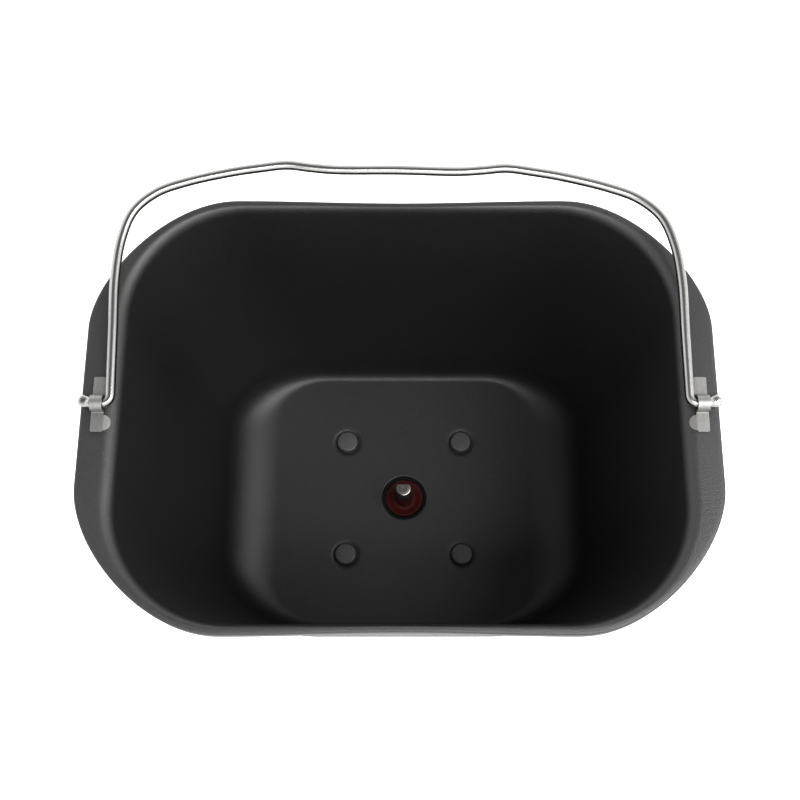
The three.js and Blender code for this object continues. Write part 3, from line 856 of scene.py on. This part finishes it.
seal = new_object("red_seal", lathe("red_seal", seal_profile))
seal.data.materials.append(rubber("red_silicone", (0.06, 0.005, 0.004, 1), (0.12, 0.011, 0.009, 1), 0.4))
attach(seal, "pan")
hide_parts("shaft_seal")


# ---- Drive shaft ----------------------------------------------------------------------------
# Stainless bar turned down above its collar, with a D-flat milled on the back of its upper end
# for the kneading blade, and a groove below for the retaining ring.

journal_radius = 4 * MM
shaft_low = 1 * MM
shaft_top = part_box("drive_shaft")[1].z
chamfer = 0.3 * MM
groove_low = 8.2 * MM
groove_high = 9.2 * MM
groove_radius = 3.4 * MM
collar_low = 21.7 * MM
collar_high = 22.4 * MM
collar_radius = 5.5 * MM
flat_place = 1.64 * MM
flat_low = shaft_top - 14 * MM
pin_height = 4.6 * MM
pin_radius = 1.35 * MM

shaft_profile = [
    (0, shaft_low),
    (journal_radius - chamfer, shaft_low),
    (journal_radius, shaft_low + chamfer),
    (journal_radius, groove_low),
    (groove_radius, groove_low),
    (groove_radius, groove_high),
    (journal_radius, groove_high),
    (journal_radius, collar_low),
    (collar_radius, collar_low),
    (collar_radius, collar_high),
    (shaft_radius, collar_high),
    (shaft_radius, flat_low),
    (shaft_radius, flat_low + 0.01 * MM),
    (shaft_radius, shaft_top - chamfer),
    (shaft_radius - 0.3 * chamfer, shaft_top - 0.3 * chamfer),
    (shaft_radius - chamfer, shaft_top),
    (0.6 * MM, shaft_top),
    (0, shaft_top - 0.1 * MM),
]
shaft_mesh = lathe("turned_shaft", shaft_profile, 160)
for vertex in shaft_mesh.vertices:
    if vertex.co.z > flat_low + 0.005 * MM:
        vertex.co.y = min(vertex.co.y, flat_place)
finish_mesh(shaft_mesh, 30)
shaft = new_object("turned_shaft", shaft_mesh)


def drill_across(piece, radius, height, reach):
    """Drills a hole along X through a piece."""
    drill = bmesh.new()
    place = Matrix.Translation((0, 0, height)) @ Matrix.Rotation(math.pi / 2, 4, "Y")
    bmesh.ops.create_cone(drill, cap_ends=True, segments=48, radius1=radius, radius2=radius,
                          depth=2 * reach, matrix=place)
    drill_mesh = bpy.data.meshes.new("drill")
    drill.to_mesh(drill_mesh)
    drill.free()
    tool = new_object("drill", drill_mesh)
    hole = piece.modifiers.new("hole", "BOOLEAN")
    hole.operation = "DIFFERENCE"
    hole.solver = "EXACT"
    hole.object = tool
    settle(piece)
    bpy.data.objects.remove(tool)
    piece.data.set_sharp_from_angle(angle=math.radians(30))


drill_across(shaft, pin_radius + 0.1 * MM, pin_height, journal_radius + 1 * MM)
turned_steel = metal("turned_steel", (0.24, 0.232, 0.22, 1), (0.48, 0.465, 0.44, 1), (0.22, 0.36),
                     (5200, 5200, 5200), 0.35, turned=True)
shaft.data.materials.append(turned_steel)
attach(shaft, "drive")
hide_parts("drive_shaft")


# ---- Thrust washers and retaining ring ------------------------------------------------------
# Two flat steel washers take the shaft's end play. A spring ring, snapped into the groove with
# its gap towards +X, holds the lower one up.

washer_inner = 4.2 * MM
for node, outer, low, high in (("upper_thrust_washer", 7 * MM, 20.9 * MM, 21.4 * MM),
                               ("lower_thrust_washer", 8 * MM, 9.4 * MM, 10 * MM)):
    washer_profile = soften([(washer_inner, low), (outer, low), (outer, high),
                             (washer_inner, high)], 0.12 * MM)
    washer = new_object(f"steel_{node}", lathe(f"steel_{node}", washer_profile))
    washer.data.materials.append(turned_steel)
    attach(washer, "drive")
    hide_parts(node)

spring_inner = 3.55 * MM
spring_outer = 5.9 * MM
spring_low = 8.35 * MM
spring_high = 9.1 * MM
spring_gap = 0.6
spring_steps = 96


def arc_bar(name, section, first, last, steps):
    """A bar bent round the Z axis, from a section of (radius, height) pairs, with closed ends."""
    outlines = []
    for step in range(steps + 1):
        turn = first + (last - first) * step / steps
        outlines.append([(r * math.cos(turn), r * math.sin(turn), z) for r, z in section])
    mesh = loft(name, outlines, closed=False)
    work = bmesh.new()
    work.from_mesh(mesh)
    work.verts.ensure_lookup_table()
    count = len(section)
    work.faces.new(work.verts[:count])
    work.faces.new(work.verts[-count:])
    work.to_mesh(mesh)
    work.free()
    return finish_mesh(mesh)


spring_section = soften([(spring_inner, spring_low), (spring_outer, spring_low),
                         (spring_outer, spring_high), (spring_inner, spring_high)], 0.12 * MM)
spring_ring = new_object("spring_ring", arc_bar("spring_ring", spring_section, spring_gap,
                                                2 * math.pi - spring_gap, spring_steps))
spring_ring.data.materials.append(metal(
    "spring_steel", (0.12, 0.12, 0.125, 1), (0.3, 0.3, 0.31, 1), (0.3, 0.5), (1800, 1800, 1800), 0.4))
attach(spring_ring, "drive")
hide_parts("retaining_ring")


# ---- Coupling and pin -----------------------------------------------------------------------
# Die-cast zinc dog with two wings, pushed on the shaft's lower end and held by a cross pin.
# The machine's drive cup catches the wings and turns them.

hub_radius = 9 * MM
hub_top = 8 * MM
wing_reach = 17.5 * MM
wing_root = 5 * MM
wing_tip = 3 * MM
coupling_steps = 288


def wing_outline(inset, z):
    """Hub and wings as seen along the axis: the farther of hub and wing in each direction."""
    outline = []
    for step in range(coupling_steps):
        turn = 2 * math.pi * step / coupling_steps
        across, along = abs(math.sin(turn)), abs(math.cos(turn))
        taper = (wing_root - wing_tip) / (wing_reach - hub_radius)
        side = (wing_root + taper * hub_radius - inset) / (across + taper * along)
        end = (wing_reach - inset) / max(along, 1e-6)
        wing = (side ** -14 + end ** -14) ** (-1 / 14)
        hub = hub_radius - inset
        reach = (wing ** 10 + hub ** 10) ** (1 / 10) if along > 0.5 else hub
        blend = min(max((along - 0.5) / 0.12, 0), 1)
        reach = hub + (reach - hub) * blend
        outline.append((reach * math.cos(turn), reach * math.sin(turn), z))
    return outline


def even_circle(radius, z):
    turns = [2 * math.pi * step / coupling_steps for step in range(coupling_steps)]
    return [(radius * math.cos(turn), radius * math.sin(turn), z) for turn in turns]


edge = 0.5 * MM
coupling_outlines = [
    even_circle(journal_radius + 0.05 * MM, shaft_low),
    wing_outline(edge + 0.2 * MM, shaft_low),
    wing_outline(0.35 * edge + 0.1 * MM, shaft_low + 0.3 * edge),
    wing_outline(0.1 * MM, shaft_low + edge),
    wing_outline(0, 4.4 * MM),
    wing_outline(0.1 * MM, hub_top - edge),
    wing_outline(0.35 * edge + 0.1 * MM, hub_top - 0.3 * edge),
    wing_outline(edge + 0.2 * MM, hub_top),
    even_circle(journal_radius + 0.05 * MM, hub_top),
]
coupling = new_object("cast_coupling", finish_mesh(loft("cast_coupling", coupling_outlines)))
drill_across(coupling, pin_radius + 0.25 * MM, pin_height, wing_reach + 5 * MM)
coupling.data.materials.append(metal(
    "cast_zinc", (0.2, 0.205, 0.215, 1), (0.4, 0.405, 0.42, 1), (0.4, 0.6), (1100, 1100, 1100), 0.7))
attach(coupling, "drive")
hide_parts("drive_coupling")

pin_reach = 10.5 * MM
pin_profile = soften([(0, -pin_reach), (pin_radius, -pin_reach), (pin_radius, pin_reach),
                      (0, pin_reach)], 0.35 * MM)
pin_mesh = lathe("cross_pin", pin_profile, 48)
pin_mesh.transform(Matrix.Translation((0, 0, pin_height)) @ Matrix.Rotation(math.pi / 2, 4, "Y"))
pin = new_object("cross_pin", pin_mesh)
pin.data.materials.append(turned_steel)
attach(pin, "drive")
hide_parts("coupling_pin")


# ---- Handle clips ---------------------------------------------------------------------------
# Each clip is a strip of stainless sheet bent over the end of the wire. Its tabs lie flat on the
# flange, the inner side of each spread to a round ear that the handle comes to rest on. A prong
# goes through the flange under each tab and is folded inwards.

pivot_z = rim_z + 1.9 * MM
clip_inner = 95.9 * MM
clip_width = 4 * MM
clip_sheet = 0.8 * MM
tunnel_radius = 2 * MM
tab_end = 9.3 * MM
ear_middle = 6.2 * MM
ear_half = 2.6 * MM
ear_reach = 2.3 * MM
ear_droop = math.radians(15)
prong_half = 1.2 * MM
tab_z = rim_z + 0.05 * MM + clip_sheet / 2
arch_radius = tunnel_radius + clip_sheet / 2
tab_bend = 0.6 * MM
clip_steel = metal("satin_strap", (0.27, 0.268, 0.263, 1), (0.39, 0.387, 0.38, 1), (0.44, 0.58),
                   (2600, 420, 420), 0.35)


def clip_path():
    """Half of the strip's middle line in the plane across the wire, from a tab's end to the top."""
    tab_steps = 44
    tab_straight = tab_end - arch_radius - tab_bend
    path = [(tab_end - tab_straight * step / tab_steps, tab_z) for step in range(tab_steps)]
    for step in range(7):
        turn = math.pi / 2 * step / 6
        path.append((arch_radius + tab_bend * (1 - math.sin(turn)),
                     tab_z + tab_bend * (1 - math.cos(turn))))
    for step in range(17):
        turn = math.pi / 2 * step / 16
        path.append((arch_radius * math.cos(turn), pivot_z + arch_radius * math.sin(turn)))
    return path


def clip_rows(across_steps=16):
    half = clip_path()
    whole = half + [(-y, z) for y, z in half[-2::-1]]
    rows = []
    for y, z in whole:
        off = min(abs(abs(y) - ear_middle) / ear_half, 1)
        ear = ear_reach * math.sqrt(1 - off * off)
        end_corner = max(0.5 * MM - (tab_end - abs(y)), 0)
        trim = 0.5 * MM - math.sqrt(max((0.5 * MM) ** 2 - end_corner ** 2, 0))
        low = clip_inner - ear + (trim if ear == 0 else 0)
        high = clip_inner + clip_width - trim
        row = []
        for step in range(across_steps + 1):
            x = low + (high - low) * step / across_steps
            droop = max(clip_inner - x, 0) * math.tan(ear_droop)
            row.append((x, y, z - droop))
        rows.append(row)
    return rows


def prong_rows(side_y):
    x = clip_inner + clip_width / 2
    fold_z = rim_z - pan_wall - 0.45 * MM
    bend = 0.6 * MM
    path = [(x, tab_z), (x, rim_z - 0.6 * MM)]
    for step in range(6):
        turn = math.pi / 2 * step / 5
        path.append((x - bend * (1 - math.cos(turn)), fold_z + bend * (1 - math.sin(turn))))
    path.append((x - 2.6 * MM, fold_z))
    middle = side_y * ear_middle
    return [[(px, middle + prong_half * share, pz) for share in (-1, -0.5, 0, 0.5, 1)]
            for px, pz in path]


def grid_into(work, rows):
    made = [[work.verts.new(point) for point in row] for row in rows]
    for row, next_row in zip(made, made[1:]):
        for i in range(len(row) - 1):
            work.faces.new((row[i], next_row[i], next_row[i + 1], row[i + 1]))


for side, turned_by in (("left", math.pi), ("right", 0.0)):
    strip = bmesh.new()
    grid_into(strip, clip_rows())
    for side_y in (-1, 1):
        grid_into(strip, prong_rows(side_y))
    bmesh.ops.recalc_face_normals(strip, faces=strip.faces)
    bmesh.ops.rotate(strip, verts=strip.verts, matrix=Matrix.Rotation(turned_by, 3, "Z"))
    clip_mesh = bpy.data.meshes.new(f"strap_clip_{side}")
    strip.to_mesh(clip_mesh)
    strip.free()
    clip = new_object(f"strap_clip_{side}", clip_mesh)
    sheet = clip.modifiers.new("sheet", "SOLIDIFY")
    sheet.thickness = clip_sheet
    sheet.offset = 0
    edges = clip.modifiers.new("edges", "BEVEL")
    edges.width = 0.14 * MM
    edges.segments = 3
    edges.limit_method = "ANGLE"
    edges.angle_limit = math.radians(50)
    settle(clip)
    clip.data.shade_smooth()
    clip.data.set_sharp_from_angle(angle=math.radians(50))
    clip.data.materials.append(clip_steel)
    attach(clip, "pan")
    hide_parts(f"{side}_handle_clip")


# ---- Bail handle ----------------------------------------------------------------------------
# One stainless wire, bent by hand over formers, so its legs lean a little and the grip is
# slightly askew. Both ends pass through the clips and are squeezed flat outside them.

rest_angle = math.radians(5.5)
leg_x = 93.8
wire_bend = 2.6
wire_end = 100.3
leg_foot = 24
grip_points = [
    (0, 80.5), (21, 80.3), (29, 80.9), (37, 81.7), (46, 80.6), (56, 78.9),
    (71, 75.2), (81, 71.3), (88.4, 64.8), (92.2, 55), (leg_x, 42), (leg_x, leg_foot),
]
lean = 0.015
skew = 1.3 / (80 * 85)
tip_turn = math.radians(20)
tip_length = 4.0
tip_half_width = 1.95
tip_half_thick = 1.0


def bail_point(x, y):
    return Vector((x - lean * y, y - skew * x * y))


def smooth_curve(points, steps):
    """A centripetal Catmull-Rom curve through the points."""
    ends = [2 * points[0] - points[1], *points, 2 * points[-1] - points[-2]]
    made = []
    for a, b, c, d in zip(ends, ends[1:], ends[2:], ends[3:]):
        gap_ab, gap_bc, gap_cd = (math.sqrt((q - p).length) for p, q in ((a, b), (b, c), (c, d)))
        pull_b = ((b - a) / gap_ab - (c - a) / (gap_ab + gap_bc) + (c - b) / gap_bc) * gap_bc
        pull_c = ((c - b) / gap_bc - (d - b) / (gap_bc + gap_cd) + (d - c) / gap_cd) * gap_bc
        for step in range(steps):
            t = step / steps
            made.append(b * (1 + 2 * t) * (1 - t) ** 2 + pull_b * t * (1 - t) ** 2
                        + c * t * t * (3 - 2 * t) + pull_c * t * t * (t - 1))
    made.append(points[-1])
    return made


def wire_end_points(side):
    """From the flattened tip inwards to the foot of the leg, each with its half width and height."""
    made = []
    tip_steps = 26
    for step in range(tip_steps + 1):
        out = tip_length * (1 - step / tip_steps)
        from_end = tip_length - out
        place = Vector((wire_end + out * math.cos(tip_turn), out * math.sin(tip_turn)))
        squeeze = min(out / 1.4, 1)
        squeeze = squeeze * squeeze * (3 - 2 * squeeze)
        half = 1.6 + (tip_half_width - 1.6) * squeeze
        thick = 1.6 + (tip_half_thick - 1.6) * squeeze
        round_end = math.sqrt(max(1 - (1 - min(from_end / 1.5, 1)) ** 2, 0.01))
        made.append((place, half * round_end, thick * (0.35 + 0.65 * round_end)))
    for step in range(1, 8):
        share = step / 8
        made.append((Vector((wire_end + (leg_x + wire_bend - wire_end) * share, 0)), 1.6, 1.6))
    bend_steps = 14
    for step in range(bend_steps + 1):
        turn = math.pi / 2 * step / bend_steps
        place = Vector((leg_x + wire_bend * (1 - math.sin(turn)), wire_bend * (1 - math.cos(turn))))
        made.append((place, 1.6, 1.6))
    leg_start = bail_point(side * leg_x, leg_foot)
    leg_start.x *= side
    bend_end = Vector((leg_x, wire_bend))
    for step in range(1, 8):
        made.append((bend_end.lerp(leg_start, step / 8), 1.6, 1.6))
    return [(Vector((side * p.x, p.y)), half, thick) for p, half, thick in made]


grip = [*reversed(grip_points)] + [(-x, y) for x, y in grip_points[1:]]
grip_curve = smooth_curve([bail_point(x, y) for x, y in grip], 14)
bail_points = [*wire_end_points(1), *[(p, 1.6, 1.6) for p in grip_curve],
               *reversed(wire_end_points(-1))]


def bail_mesh(name, stations, sides=32):
    """Sweeps the wire's section along its middle line, with a map along and round the wire."""
    random.seed(4)
    work = bmesh.new()
    rings = []
    lengths = [0.0]
    for i, (point, half, thick) in enumerate(stations):
        before = stations[max(i - 1, 0)][0]
        after = stations[min(i + 1, len(stations) - 1)][0]
        along = (after - before).normalized()
        across = Vector((along.y, -along.x))
        flattened = min(abs(half - 1.6) * 3 + max(1.6 - thick, 0) * 2, 1)
        ring = []
        for k in range(sides):
            turn = 2 * math.pi * k / sides
            dent = 1 + 0.05 * flattened * random.uniform(-1, 1)
            place = point + across * half * math.cos(turn) * dent
            ring.append(work.verts.new((place.x, place.y, thick * math.sin(turn) * dent)))
        rings.append(ring)
        if i:
            lengths.append(lengths[-1] + (point - stations[i - 1][0]).length)
    layer = work.loops.layers.uv.new("wire_map")
    for i, (ring, next_ring) in enumerate(zip(rings, rings[1:])):
        for k in range(sides):
            j = (k + 1) % sides
            face = work.faces.new((ring[k], next_ring[k], next_ring[j], ring[j]))
            corners = ((i, k), (i + 1, k), (i + 1, k + 1), (i, k + 1))
            for loop, (level, column) in zip(face.loops, corners):
                loop[layer].uv = (lengths[level] * MM, column / sides)
    work.faces.new(rings[0])
    work.faces.new(rings[-1])
    bmesh.ops.recalc_face_normals(work, faces=work.faces)
    bmesh.ops.scale(work, vec=(MM, MM, MM), verts=work.verts)
    bmesh.ops.rotate(work, verts=work.verts, matrix=Matrix.Rotation(rest_angle, 3, "X"))
    bmesh.ops.translate(work, verts=work.verts, vec=(0, 0, pivot_z))
    mesh = bpy.data.meshes.new(name)
    work.to_mesh(mesh)
    work.free()
    mesh.shade_smooth()
    return mesh


bail = new_object("drawn_bail", bail_mesh("drawn_bail", bail_points))
bail.data.materials.append(metal(
    "drawn_wire", (0.33, 0.328, 0.322, 1), (0.46, 0.456, 0.448, 1), (0.22, 0.32), (25, 14, 1), 0.15,
    coordinates="UV"))
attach(bail, "handle")
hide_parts("bail_handle")

low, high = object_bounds()
